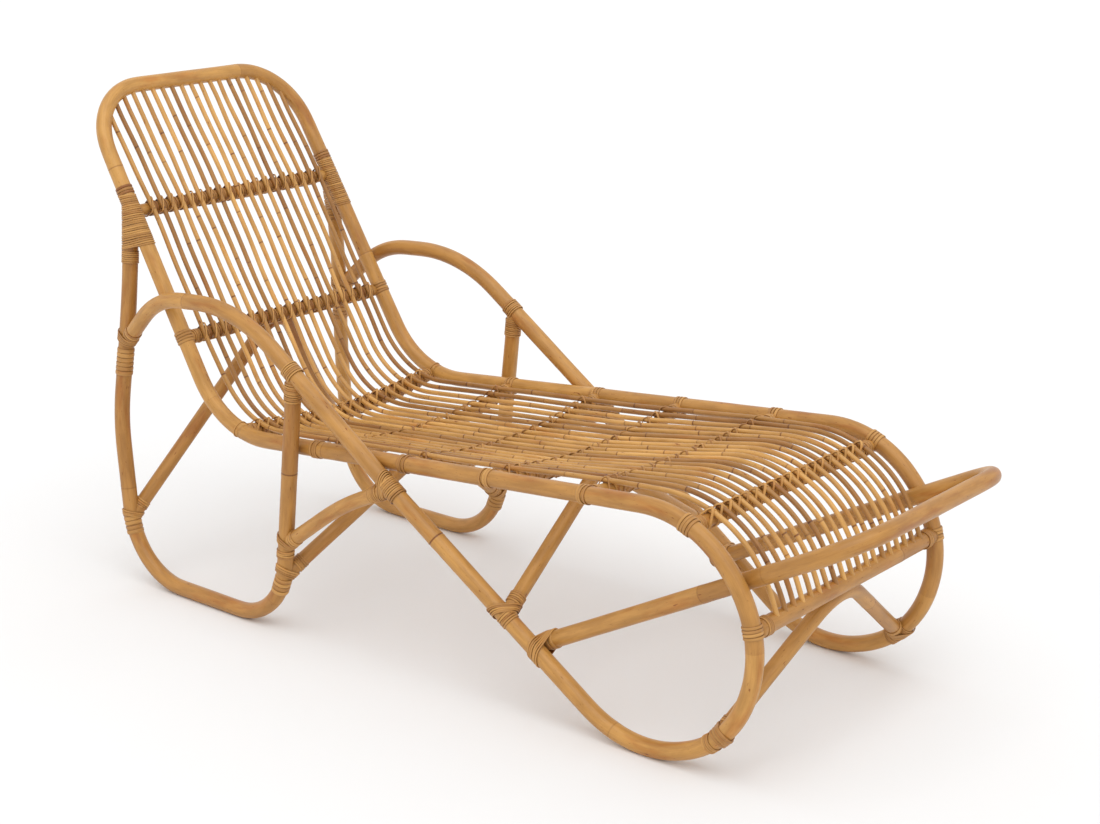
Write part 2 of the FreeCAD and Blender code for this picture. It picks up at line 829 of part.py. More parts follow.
def write_nodes():
    os.makedirs("parts", exist_ok=True)
    for nodes in (frame_nodes(), deck_nodes(), lashing_nodes(), binding_nodes(), hidden_nodes()):
        for name, shape in nodes.items():
            whole = Part.makeCompound(shape) if isinstance(shape, list) else shape
            whole.exportStep("parts/" + name + ".step")


write_nodes()
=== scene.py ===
import heapq
import math
import random
from collections import namedtuple

import bpy
import numpy as np
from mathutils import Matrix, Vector


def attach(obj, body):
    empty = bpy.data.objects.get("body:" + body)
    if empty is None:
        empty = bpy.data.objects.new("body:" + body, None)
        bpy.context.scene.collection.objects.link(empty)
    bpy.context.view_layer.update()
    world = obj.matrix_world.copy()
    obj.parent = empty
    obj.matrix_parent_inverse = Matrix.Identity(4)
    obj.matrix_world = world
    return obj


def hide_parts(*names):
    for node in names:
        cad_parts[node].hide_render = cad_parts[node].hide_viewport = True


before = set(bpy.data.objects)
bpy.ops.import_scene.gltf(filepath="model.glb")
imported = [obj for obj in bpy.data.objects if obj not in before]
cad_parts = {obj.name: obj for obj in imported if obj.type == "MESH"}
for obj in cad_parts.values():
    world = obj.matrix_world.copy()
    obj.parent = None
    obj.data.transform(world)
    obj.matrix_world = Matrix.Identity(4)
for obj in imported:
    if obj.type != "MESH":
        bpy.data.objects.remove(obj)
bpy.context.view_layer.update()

# Canes: radii as in the part, and how far apart their knots are
pole_radius = 0.015
brace_radius = 0.0135
bar_radius = 0.012
toe_bar_radius = 0.015
rod_radius = 0.0046
pole_knot_gap = 0.52
brace_knot_gap = 0.42
bar_knot_gap = 0.3
rod_knot_gap = 0.16
first_gap_shares = (0.2, 0.9)
gap_shares = (0.75, 1.25)
pole_plainness = (0.2, 0.55)
rod_plainness = (0.6, 1.0)

# Shape of the canes: rings of points, swollen knots with a groove, and slow waves
pole_sides = 24
rod_sides = 10
ring_step = 0.009
knot_swell = 0.045
knot_reach = 0.007
knot_groove = 0.05
knot_groove_reach = 0.0011
knot_mark_reach = 1.6 * knot_groove_reach
knot_offsets = (-0.014, -0.009, -0.005, -0.0025, -0.0012, 0.0, 0.0012, 0.0025, 0.005, 0.009, 0.014)
ovalness = 0.012
girth_drift = 0.012
girth_waves = (21.0, 47.0)
second_girth_wave = 0.6
rod_wander = 0.0013
wander_waves = (16.0, 37.0)
second_wander_wave = 0.5
held_end = 0.05
grain_shifts = (0.0, 50.0)

# Knots that the photo shows, by the cane that they are on: a place near each, and how plain it is
seen_knots = {
    "right_side_pole": (((0.07, -0.298, 0.274), 1.0), ((-0.545, -0.303, 0.599), 0.5)),
    "right_leg_hoop": (((-0.287, -0.303, 0.321), 0.8),),
    "foot_bow": (((0.709, -0.248, 0.353), 0.4), ((0.595, -0.251, 0.293), 0.5)),
    "back_hoop": (((-0.782, -0.26, 0.815), 0.6),),
}

# Tones of the canes, from 0, dark, to 1, light
cane_tones = {
    "back_hoop": 0.52,
    "foot_bow": 0.38,
    "left_side_pole": 0.48,
    "right_side_pole": 0.46,
    "left_leg_hoop": 0.58,
    "right_leg_hoop": 0.27,
    "toe_bar": 0.3,
    "left_corner_brace": 0.4,
    "right_corner_brace": 0.48,
    "seat_arch": 0.36,
}
other_tones = (0.3, 0.45)
rod_tones = (0.3, 0.5, 0.6, 0.68, 0.74, 0.78, 0.82)
joint_tone_spread = 0.13

# Strip of split cane, for the lashings and the bindings
strip_width = 0.0038
thin_strip = 0.0028
wide_strip = 0.0055
broad_strip = 0.0085
strip_thickness = 0.0013
strip_lift = 0.0005
layer_share = 0.8
strip_pitch = 1.06
strip_jitter = 0.03
width_spread = (0.92, 1.08)
thickness_spread = (0.9, 1.15)
strip_tone = 0.5
strip_tone_spread = 0.18

# Shape of a strip: its section, how much painted shade darkens its rims where the turns meet, and the
# points of one turn
strip_profile = (
    (-0.5, -0.3),
    (-0.47, 0.45),
    (-0.28, 0.92),
    (0.0, 1.0),
    (0.28, 0.92),
    (0.47, 0.45),
    (0.5, -0.3),
)
# Painted shade along the rims of a strip, for the gaps between turns
strip_edge_shades = (0.85, 0.45, 0.06, 0.0, 0.06, 0.45, 0.85)
strip_step = 0.0028
fewest_turn_points = 16
points_round_bar = 40

# Turns that cross over two canes
crossed_pitch = 1.25
crossed_layer = 0.25
flattest_slant = 0.62

# Ties over the rods: their widths, slants, ways and layers, and how much painted shade darkens their rims
bend_tie = 0.0046
seat_tie = 0.0038
back_tie_slant = 0.4
bend_tie_slant = 0.9
bend_tie_layers = {1: 0.4, -1: 0.0}
seat_tie_slants = (0.6, 0.9)
seat_tie_ways = ((1, -1), (1, -1), (1,), (-1,))
seat_tie_layer = 0.2
tie_edge_shade = 0.35

# Rings between the rods; at the bends by their bar: how many, the layer they rise to, and their tone
ring_width = 0.0052
bend_rings = {"knee_bar": (3, 2.0, 0.22), "front_bar": (2, 0.0, 0.45)}

# Marks that a mesh carries for its material, with their kinds and fields
mesh_marks = (
    ("grain", "FLOAT_VECTOR", "vector"),
    # The second mark darkens the knots of the canes, and paints shade along the rims of the strips
    ("knot_and_edge_shade", "FLOAT", "value"),
    ("tone", "FLOAT", "value"),
)

# Sockets of a colour mix, by their places
mix_share = 0
mix_first = 6
mix_second = 7
mix_result = 2

# Finish of the cane: streaks by their scale across it, their scale along it and their detail
fine_streaks = (900.0, 9.0, 4.0)
broad_streaks = (70.0, 14.0, 3.0)
cloud_streaks = (38.0, 8.0, 3.0)
fleck_streaks = (420.0, 110.0, 2.0)
scar_streaks = (170.0, 42.0, 2.0)
streak_roughness = 0.6

# Tints over the cane's own colour; the last one also paints shade along the rims of the strips
untinted = (1.0, 1.0, 1.0, 1.0)
broad_dark_tint = (0.84, 0.8, 0.72, 1.0)
broad_light_tint = (1.1, 1.1, 1.1, 1.0)
fine_tint = (0.92, 0.88, 0.82, 1.0)
cloud_tint = (0.88, 0.72, 0.55, 1.0)
fleck_tint = (0.6, 0.44, 0.3, 1.0)
scar_tint = (0.52, 0.32, 0.19, 1.0)
# Darkens the knots, and is the painted shade along the rims of the strips
knot_and_edge_shade_tint = (0.34, 0.2, 0.11, 1.0)

# Sheen and bump of the cane, and the mottling of the fixings
smoother = 0.08
rougher = 0.12
coat_weight = 0.22
coat_roughness = 0.26
specular_level = 0.35
bump_depth = 0.0006
mottle_shade = 0.75

# Middle lines, as they are worked out from the frame
cell_size = 0.001
one_sided_limit = 0.9
bead_size = 0.004
near_beads = 0.009
group_length = 0.008
line_step = 0.003
line_smoothing = 10

# Directions: past these a heading or a normal is steep, and up to this a slope is none
steep_heading = 0.9
steep_normal = 0.8
least_slope = 1e-4

# Camera, as in the photo
camera_turn = math.radians(39.429)
camera_rise = math.radians(16.85)
camera_distance = 3.632
camera_target = Vector((0.0763, 0.0, 0.434))
camera_lens = 66.03
sensor_width = 36.0

# Stage and light
floor_half = 30.0
floor_white = (0.84, 0.84, 0.84, 1.0)
sky_white = (1.0, 1.0, 1.0, 1.0)
sky_strength = 0.95
sun_strength = 1.05
sun_spread = math.radians(60.0)
sun_turn = camera_turn + math.radians(5.0)
sun_rise = math.radians(64.0)

dice_seed = 11
dice = random.Random(dice_seed)


# Vectors and lines

def unit(vector):
    return vector / np.linalg.norm(vector)


def square_to(direction, steep):
    """A direction square to another one: level, or square to X too where the other is steep."""
    aside = (0.0, 0.0, 1.0) if abs(direction[2]) < steep else (1.0, 0.0, 0.0)
    return unit(np.cross(direction, aside))


def direction_to(turn, rise):
    """Direction from the part to a turn about it and a rise above the floor."""
    level = math.cos(rise)
    return Vector((math.sin(turn) * level, -math.cos(turn) * level, math.sin(rise)))


def read(items, field, width, kind=float):
    """One field of every item of a mesh, as rows of numbers."""
    values = np.empty(len(items) * width, dtype=kind)
    items.foreach_get(field, values)
    return values.reshape(-1, width)


def lengths_along(line):
    """How far each point of a line is from its start."""
    steps = np.linalg.norm(np.diff(line, axis=0), axis=1)
    return np.concatenate([[0.0], np.cumsum(steps)])


def points_at(line, places):
    """Points of a line at given distances along it."""
    far = lengths_along(line)
    return np.stack([np.interp(places, far, line[:, axis]) for axis in range(3)], axis=-1)


def smoothed(line, passes):
    """A line with its small kinks rubbed out, and its ends where they were."""
    result = line.copy()
    for _ in range(passes):
        result[1:-1] = (result[:-2] + 2 * result[1:-1] + result[2:]) / 4
    return result


def walk(start, links, beads):
    """Distance from one bead to each that it is linked to."""
    found = {}
    queue = [(0.0, start)]
    while queue:
        far, bead = heapq.heappop(queue)
        if bead in found:
            continue
        found[bead] = far
        for other in links[bead]:
            if other not in found:
                step = float(np.linalg.norm(beads[other] - beads[bead]))
                heapq.heappush(queue, (far + step, other))
    return found


def skin_middles(node, radius):
    """Places one radius under a cane's skin, and the pairs of them that a triangle links.
    A cut face or a flat looks one way only, so its places are left out."""
    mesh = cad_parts[node].data
    corner = read(mesh.loops, "vertex_index", 1, int).ravel()
    skin = read(mesh.vertices, "co", 3)[corner]
    outward = read(mesh.corner_normals, "vector", 3)
    middles = skin - radius * outward
    grid = np.round(middles / cell_size).astype(int)
    _, cell_of, count = np.unique(grid, axis=0, return_inverse=True, return_counts=True)
    cell_of = cell_of.ravel()
    places = np.zeros((len(count), 3))
    facing = np.zeros((len(count), 3))
    np.add.at(places, cell_of, middles)
    np.add.at(facing, cell_of, outward)
    places /= count[:, None]
    round_skin = np.linalg.norm(facing, axis=1) / count < one_sided_limit
    faces = cell_of.reshape(-1, 3)
    pairs = np.concatenate([faces[:, (0, 1)], faces[:, (1, 2)], faces[:, (2, 0)]])
    pairs = np.unique(np.sort(pairs, axis=1), axis=0)
    kept = round_skin[pairs].all(axis=1) & (pairs[:, 0] != pairs[:, 1])
    return places, pairs[kept]


def beads_of(node, radius):
    """Close beads along the middle of a cane, and which beads are next to each other."""
    places, pairs = skin_middles(node, radius)
    bead_of = {}
    samples = []
    links = {}
    for first, second in pairs:
        gap = np.linalg.norm(places[second] - places[first])
        count = math.ceil(gap / bead_size)
        before = None
        for share in np.linspace(0.0, 1.0, count + 1):
            point = places[first] + share * (places[second] - places[first])
            key = tuple(np.round(point / bead_size).astype(int))
            bead = bead_of.setdefault(key, len(bead_of))
            if bead == len(samples):
                samples.append([])
                links[bead] = set()
            samples[bead].append(point)
            if before is not None and before != bead:
                links[before].add(bead)
                links[bead].add(before)
            before = bead
    beads = np.array([np.mean(group, axis=0) for group in samples])
    gaps = np.linalg.norm(beads[:, None] - beads[None], axis=2)
    for first, second in np.argwhere(gaps < near_beads):
        if first != second:
            links[first].add(second)
    return beads, links


def middle_line(node, radius):
    """Middle line of a round cane, from its mesh in the frame."""
    beads, links = beads_of(node, radius)
    seen = set()
    longest = {}
    for bead in links:
        if bead not in seen:
            group = walk(bead, links, beads)
            seen.update(group)
            if not longest or max(group.values()) > max(longest.values()):
                longest = group
    along = walk(max(longest, key=longest.get), links, beads)
    groups = []
    for bead in sorted(along, key=along.get):
        if not groups or along[bead] - along[groups[-1][0]] > group_length:
            groups.append([])
        groups[-1].append(bead)
    middle = [beads[group].mean(axis=0) for group in groups[1:-1]]
    start = beads[groups[0][0]]
    end = beads[groups[-1][-1]]
    start = start + unit(start - middle[0]) * bead_size / 2
    end = end + unit(end - middle[-1]) * bead_size / 2
    line = np.array([start] + middle + [end])
    spots = np.linspace(0.0, lengths_along(line)[-1], round(lengths_along(line)[-1] / line_step))
    return smoothed(points_at(line, spots), line_smoothing)


Bar = namedtuple("Bar", ["point", "heading", "radius"])


class Cane:
    """A round cane of the frame: its middle line, and places and headings along it."""

    def __init__(self, node, radius):
        self.node = node
        self.radius = radius
        self.line = middle_line(node, radius)
        self.far = lengths_along(self.line)
        self.length = self.far[-1]

    def at(self, far):
        return points_at(self.line, far)

    def heading(self, far):
        """Direction of the cane at a distance along it."""
        reach = 2 * line_step
        ahead = self.at(min(far + reach, self.length))
        behind = self.at(max(far - reach, 0.0))
        return unit(ahead - behind)

    def nearest(self, point):
        """Distance along the cane to its nearest place to a point."""
        return self.far[np.argmin(np.linalg.norm(self.line - point, axis=1))]

    def straight(self, far):
        """The cane near one place, as a straight round bar."""
        return Bar(self.at(far), self.heading(far), self.radius)


# Meshes with their marks: the place in the grain, the knots with the painted shade along the strips' rims,
# and the tone

class Skin:
    """Collects vertices, faces and marks, and makes one piece of them."""

    def __init__(self):
        self.points = []
        self.faces = []
        self.grain = []
        self.knot_and_edge_shade = []
        self.tone = []

    def add_rows(self, rows, grain, knot_and_edge_shade, tone, closed):
        """Adds a skin over rows of points, all of one length; closed joins the last row to the first."""
        start = len(self.points)
        count = len(rows)
        width = len(rows[0])
        for row, row_grain, row_knot_and_edge_shade, row_tone in zip(rows, grain, knot_and_edge_shade, tone):
            self.points.extend(row)
            self.grain.extend(row_grain)
            self.knot_and_edge_shade.extend(row_knot_and_edge_shade)
            self.tone.extend([row_tone] * width)
        for row in range(count if closed else count - 1):
            here = start + row * width
            following = start + (row + 1) % count * width
            for side in range(width):
                beside = (side + 1) % width
                self.faces.append((here + side, here + beside, following + beside, following + side))
        if not closed:
            last = start + (count - 1) * width
            self.faces.append(tuple(range(start + width - 1, start - 1, -1)))
            self.faces.append(tuple(range(last, last + width)))

    def piece(self, name, material, slot, nodes):
        """Makes the piece, which rides on the part and stands for the nodes."""
        mesh = bpy.data.meshes.new(name)
        mesh.from_pydata([tuple(point) for point in self.points], [], self.faces)
        for mark, kind, field in mesh_marks:
            values = np.array(getattr(self, mark), dtype=np.float32).ravel()
            mesh.attributes.new(mark, kind, "POINT").data.foreach_set(field, values)
        mesh.shade_smooth()
        mesh.materials.append(material)
        piece = bpy.data.objects.new(name, mesh)
        bpy.context.collection.objects.link(piece)
        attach(piece, "root")
        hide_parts(*nodes)


def knots_along(cane, gap, plainness):
    """Distances of the knots along a cane and how plain each is: the seen ones, then others between."""
    knots = []
    for place, plain in seen_knots.get(cane.node, ()):
        knots.append((cane.nearest(np.array(place)), plain))
    far = gap * dice.uniform(*first_gap_shares)
    while far < cane.length:
        if all(abs(far - other) > gap / 2 for other, _ in knots):
            knots.append((far, dice.uniform(*plainness)))
        far += gap * dice.uniform(*gap_shares)
    return sorted(knots)


def carried_frames(line):
    """Two directions square to a line at each point, carried along it without twist."""
    ahead = np.gradient(line, axis=0)
    ahead /= np.linalg.norm(ahead, axis=1)[:, None]
    firsts = [square_to(ahead[0], steep_heading)]
    for direction in ahead[1:]:
        carried = firsts[-1] - direction * (firsts[-1] @ direction)
        firsts.append(unit(carried))
    firsts = np.array(firsts)
    return firsts, np.cross(ahead, firsts)


def ring_places(cane, knots):
    """Distances along a cane where it has a ring of points: evenly, and closer at the knots."""
    knot_places = np.array([place for place, _ in knots])
    offsets = (knot_places[:, None] + np.array(knot_offsets)[None]).ravel()
    even = np.linspace(0.0, cane.length, max(2, round(cane.length / ring_step)))
    spots = np.unique(np.clip(np.concatenate([even, offsets]), 0.0, cane.length))
    return spots[np.concatenate([[True], np.diff(spots) > knot_groove_reach / 2])]


def two_waves(spots, waves, second_share, phases):
    """A long wave along a cane and a shorter, lower one."""
    return np.sin(spots * waves[0] + phases[0]) + second_share * np.sin(spots * waves[1] + phases[1])


def girth_and_knots(spots, knots, phases):
    """Girth of a cane at each place, as a share, and how much of one of its knots is there."""
    waves = two_waves(spots, girth_waves, second_girth_wave, phases)
    girth = 1 + girth_drift * waves / (1 + second_girth_wave)
    knot_and_edge_shade = np.zeros(len(spots))
    for place, plainness in knots:
        off = spots - place
        girth += plainness * knot_swell * np.exp(-(off / knot_reach) ** 2)
        girth -= plainness * knot_groove * np.exp(-(off / knot_groove_reach) ** 2)
        knot_and_edge_shade = np.maximum(knot_and_edge_shade, plainness * np.exp(-(off / knot_mark_reach) ** 2))
    return girth, knot_and_edge_shade


def cane_skin(skin, cane, knots, sides, tone, wander):
    """Adds a cane with its knots, its slow changes of girth and an own tone between two knots.
    A thin cane also wanders a little sideways between its ends."""
    spots = ring_places(cane, knots)
    phases = [dice.uniform(0.0, math.tau) for _ in range(4)]
    sway = two_waves(spots, wander_waves, second_wander_wave, phases[2:])
    ends_held = np.clip(np.minimum(spots, cane.length - spots) / held_end, 0.0, 1.0)
    line = cane.at(spots)
    line[:, 1] += wander * sway * ends_held
    first, second = carried_frames(line)
    shift = dice.uniform(*grain_shifts)
    girth, knot_and_edge_shade = girth_and_knots(spots, knots, phases[:2])
    joint_tones = []
    for _ in range(len(knots) + 1):
        joint_tones.append(tone + dice.uniform(-joint_tone_spread, joint_tone_spread))
    knot_places = [place for place, _ in knots]
    tones = [joint_tones[np.searchsorted(knot_places, spot)] for spot in spots]
    turn = np.linspace(0.0, math.tau, sides, endpoint=False)
    oval = 1 + ovalness * np.cos(2 * turn + phases[2])
    cosines = np.cos(turn)[:, None]
    sines = np.sin(turn)[:, None]
    round_about = cane.radius * np.column_stack([cosines, sines])
    rows = []
    grain = []
    for index, spot in enumerate(spots):
        reach = (cane.radius * girth[index] * oval)[:, None]
        ring = line[index] + reach * (cosines * first[index] + sines * second[index])
        ring[:, 2] = np.maximum(ring[:, 2], 0.0)
        rows.append(ring)
        grain.append(np.column_stack([round_about, np.full(sides, spot + shift)]))
    skin.add_rows(rows, grain, np.repeat(knot_and_edge_shade[:, None], sides, axis=1), tones, closed=False)


# Strips: closed turns, each in a plane, drawn tight round the canes that the plane cuts

def hull(points):
    """Convex outline of flat points."""
    ordered = sorted(set(points))
    chains = []
    for sweep in (ordered, ordered[::-1]):
        chain = []
        for point in sweep:
            while len(chain) > 1:
                (ax, ay), (bx, by) = chain[-2:]
                if (bx - ax) * (point[1] - ay) - (by - ay) * (point[0] - ax) > 0:
                    break
                chain.pop()
            chain.append(point)
        chains.append(chain[:-1])
    return chains[0] + chains[1]


def tight_turn(bars, middle, normal, lift):
    """Closed line in the plane through the middle, drawn tight round straight bars."""
    side = square_to(normal, steep_normal)
    up = np.cross(normal, side)
    angles = np.linspace(0.0, math.tau, points_round_bar, endpoint=False)
    flat = []
    for bar in bars:
        slant = bar.heading @ normal
        center = bar.point + bar.heading * ((middle - bar.point) @ normal) / slant - middle
        long_way = bar.heading - slant * normal
        long_way = unit(long_way) if np.linalg.norm(long_way) > least_slope else side
        short_way = np.cross(normal, long_way)
        reach = bar.radius + lift
        for angle in angles:
            around = math.cos(angle) / abs(slant) * long_way + math.sin(angle) * short_way
            spot = center + reach * around
            flat.append((round(spot @ side, 6), round(spot @ up, 6)))
    corners = hull(flat)
    closed = np.array([middle + x * side + y * up for x, y in corners + corners[:1]])
    length = lengths_along(closed)[-1]
    count = max(fewest_turn_points, round(length / strip_step))
    return points_at(closed, np.linspace(0.0, length, count, endpoint=False))


def strip_turn(skin, bars, middle, normal, width=strip_width, layer=0, tone=strip_tone, edge_shade=1.0):
    """Adds one turn of strip; a higher layer lies on the turns below it."""
    normal = unit(normal + strip_jitter * np.array([dice.uniform(-1, 1) for _ in range(3)]))
    lift = strip_lift + layer * layer_share * strip_thickness
    turn = tight_turn(bars, middle, normal, lift)
    ahead = np.roll(turn, -1, axis=0) - np.roll(turn, 1, axis=0)
    outward = np.cross(ahead, normal)
    outward /= np.linalg.norm(outward, axis=1)[:, None]
    if outward[0] @ (turn[0] - turn.mean(axis=0)) < 0:
        outward = -outward
    own_width = width * dice.uniform(*width_spread)
    own_thickness = strip_thickness * dice.uniform(*thickness_spread)
    shift = dice.uniform(*grain_shifts)
    own_tone = tone + dice.uniform(-strip_tone_spread, strip_tone_spread)
    across = np.array([point[0] for point in strip_profile]) * own_width
    height = np.array([point[1] for point in strip_profile]) * own_thickness
    steps = np.linalg.norm(turn - np.roll(turn, 1, axis=0), axis=1)
    far = np.cumsum(steps)
    rows = []
    grain = []
    for index, point in enumerate(turn):
        rows.append(point + across[:, None] * normal + height[:, None] * outward[index])
        grain.append(np.column_stack([across, height, np.full(len(across), far[index] + shift)]))
    # Painted shade darkens the strip's rims, less on strips wider than the wide one
    edge_shades = np.array(strip_edge_shades) * edge_shade * min(1.0, wide_strip / width)
    skin.add_rows(rows, grain, [edge_shades] * len(rows), [own_tone] * len(rows), closed=True)


def side_by_side(skin, bar, middle, normal, count, width=strip_width, layer=0, tone=strip_tone, edge_shade=1.0):
    """Adds turns side by side along a bar, each square to the normal."""
    for number in range(count):
        place = middle + bar.heading * (number - (count - 1) / 2) * width * strip_pitch
        strip_turn(skin, [bar], place, normal, width, layer, tone, edge_shade)


class Joint:
    """Where the end of one cane, the branch, meets another, the post."""

    def __init__(self, branch, post, tip_far):
        tip = branch.at(tip_far)
        inward = 1 if tip_far < branch.length / 2 else -1
        self.post_far = post.nearest(tip)
        self.post = post
        self.branch = branch
        self.place = post.at(self.post_far)
        self.along = post.heading(self.post_far)
        self.away = inward * branch.heading(tip_far)
        self.tip_far = tip_far
        self.inward = inward
        self.down = math.copysign(1.0, -self.along[2])
        self.bars = [post.straight(self.post_far), branch.straight(tip_far)]

    def on_post(self, skin, offset, count, width=strip_width, layer=0, tilt=0.0):
        """Turns round the post only, at an offset along it from the joint, tilted along the branch."""
        far = np.clip(self.post_far + offset, 0.0, self.post.length)
        bar = self.post.straight(far)
        normal = unit(bar.heading + tilt * self.away)
        side_by_side(skin, bar, bar.point, normal, count, width, layer)

    def on_branch(self, skin, offset, count, width=strip_width):
        """Turns round the branch only, at an offset from its tip."""
        far = np.clip(self.tip_far + self.inward * offset, 0.0, self.branch.length)
        bar = self.branch.straight(far)
        side_by_side(skin, bar, bar.point, bar.heading, count, width)

    def crossed(self, skin, offset, count, width=strip_width, layer=1):
        """Slanting turns round the post and the branch both ways, which make an X.
        A way that would lie too flat along the canes is left out."""
        for number in range(count):
            place = self.place + self.away * (offset + number * width * crossed_pitch)
            for way in (1, -1):
                normal = unit(self.along + way * self.away)
                if min(abs(self.along @ normal), abs(self.away @ normal)) > flattest_slant:
                    strip_turn(skin, self.bars, place, normal, width, layer + way * crossed_layer)

    def gathered(self, skin, offset, count, width=strip_width, layer=1):
        """Turns that draw the post and the branch together across the narrower angle between them."""
        way = 1 if self.along @ self.away > 0 else -1
        normal = unit(self.along + way * self.away)
        for number in range(count):
            place = self.place + self.away * (offset + number * width * strip_pitch)
            strip_turn(skin, self.bars, place, normal, width, layer)


def joints(branch_name, post_names):
    """Joints at both ends of a cane, each with the nearest of the posts."""
    branch = canes[branch_name]
    found = []
    for tip_far in (0.0, branch.length):
        tip = branch.at(tip_far)
        posts = [canes[name] for name in post_names]
        nearest = min(posts, key=lambda post: np.linalg.norm(post.line - tip, axis=1).min())
        found.append(Joint(branch, nearest, tip_far))
    return found


def end_joint(branch_name, post_name, near):
    """Joint at the end of a cane that lies nearest to a point."""
    branch = canes[branch_name]
    ends = (0.0, branch.length)
    tip_far = min(ends, key=lambda far: np.linalg.norm(branch.at(far) - near))
    return Joint(branch, canes[post_name], tip_far)


# Materials

def shader_node(tree, kind, **settings):
    """Adds a shader node; a setting is a property of it, or an input by its name."""
    made = tree.nodes.new(kind)
    for name, value in settings.items():
        if hasattr(made, name):
            setattr(made, name, value)
        else:
            made.inputs[name.replace("_", " ")].default_value = value
    return made


def blended(tree, factor, low, high):
    """Mix of two colours; each is a socket or a colour."""
    mix = shader_node(tree, "ShaderNodeMix", data_type="RGBA")
    for place, value in ((mix_share, factor), (mix_first, low), (mix_second, high)):
        if isinstance(value, bpy.types.NodeSocket):
            tree.links.new(value, mix.inputs[place])
        else:
            mix.inputs[place].default_value = value
    return mix.outputs[mix_result]


def ranged(tree, value, low, high):
    """A value as a share of the range from low to high, kept within 0 and 1."""
    ramp = shader_node(tree, "ShaderNodeMapRange", interpolation_type="SMOOTHSTEP")
    tree.links.new(value, ramp.inputs["Value"])
    ramp.inputs["From Min"].default_value = low
    ramp.inputs["From Max"].default_value = high
    return ramp.outputs["Result"]


def streaks(tree, grain, scales):
    """Noise drawn out along the cane."""
    across, along, detail = scales
    mapping = shader_node(tree, "ShaderNodeMapping", vector_type="POINT")
    mapping.inputs["Scale"].default_value = (across, across, along)
    tree.links.new(grain, mapping.inputs["Vector"])
    noise = shader_node(tree, "ShaderNodeTexNoise", Scale=1.0, Detail=detail, Roughness=streak_roughness)
    tree.links.new(mapping.outputs["Vector"], noise.inputs["Vector"])
    return noise.outputs["Fac"]


def marked(tree, name):
    """A mark that the mesh carries."""
    return shader_node(tree, "ShaderNodeAttribute", attribute_name=name)


def tinted(tree, colour, tint):
    """A colour multiplied by a tint."""
    product = shader_node(tree, "ShaderNodeMix", data_type="RGBA", blend_type="MULTIPLY")
    product.inputs[mix_share].default_value = 1.0
    tree.links.new(colour, product.inputs[mix_first])
    tree.links.new(tint, product.inputs[mix_second])
    return product.outputs[mix_result]


def cane_material(name, dark, light, roughness, bump_strength):
    """Varnished cane: an own tone, long streaks, warm patches, flecks, scars, dark knots, painted shade
    along the rims of strips, a soft sheen.
    """
    material = bpy.data.materials.new(name)
    material.use_nodes = True
    tree = material.node_tree
    shader = tree.nodes["Principled BSDF"]
    grain = marked(tree, "grain").outputs["Vector"]
    tone = marked(tree, "tone").outputs["Fac"]
    knot_and_edge_shade = marked(tree, "knot_and_edge_shade").outputs["Fac"]
    fine = streaks(tree, grain, fine_streaks)
    broad = streaks(tree, grain, broad_streaks)
    cloud = streaks(tree, grain, cloud_streaks)
    fleck = streaks(tree, grain, fleck_streaks)
    scar = streaks(tree, grain, scar_streaks)
    colour = blended(tree, tone, dark, light)
    tints = (
        blended(tree, ranged(tree, broad, low=0.3, high=0.7), broad_dark_tint, broad_light_tint),
        blended(tree, ranged(tree, fine, low=0.42, high=0.75), untinted, fine_tint),
        blended(tree, ranged(tree, cloud, low=0.52, high=0.72), untinted, cloud_tint),
        blended(tree, ranged(tree, fleck, low=0.67, high=0.75), untinted, fleck_tint),
        blended(tree, ranged(tree, scar, low=0.7, high=0.76), untinted, scar_tint),
        # Darkens the knots, and paints shade along the rims of the strips
        blended(tree, ranged(tree, knot_and_edge_shade, low=0.1, high=1.0), untinted, knot_and_edge_shade_tint),
    )
    for tint in tints:
        colour = tinted(tree, colour, tint)
    tree.links.new(colour, shader.inputs["Base Color"])
    gloss = shader_node(tree, "ShaderNodeMapRange")
    tree.links.new(broad, gloss.inputs["Value"])
    gloss.inputs["To Min"].default_value = roughness - smoother
    gloss.inputs["To Max"].default_value = roughness + rougher
    tree.links.new(gloss.outputs["Result"], shader.inputs["Roughness"])
    shader.inputs["Coat Weight"].default_value = coat_weight
    shader.inputs["Coat Roughness"].default_value = coat_roughness
    shader.inputs["Specular IOR Level"].default_value = specular_level
    bump = shader_node(tree, "ShaderNodeBump", Strength=bump_strength, Distance=bump_depth)
    tree.links.new(fine, bump.inputs["Height"])
    tree.links.new(bump.outputs["Normal"], shader.inputs["Normal"])
    return material


def plain_material(name, colour, roughness, metallic):
    """Steel or bare wood of the small hidden fixings, faintly mottled."""
    material = bpy.data.materials.new(name)
    material.use_nodes = True
    tree = material.node_tree
    shader = tree.nodes["Principled BSDF"]
    noise = shader_node(tree, "ShaderNodeTexNoise", Scale=300.0, Detail=3.0)
    shaded = tuple(mottle_shade * part for part in colour[:3]) + (1.0,)
    tree.links.new(blended(tree, noise.outputs["Fac"], shaded, colour), shader.inputs["Base Color"])
    shader.inputs["Roughness"].default_value = roughness
    shader.inputs["Metallic"].default_value = metallic
    return material


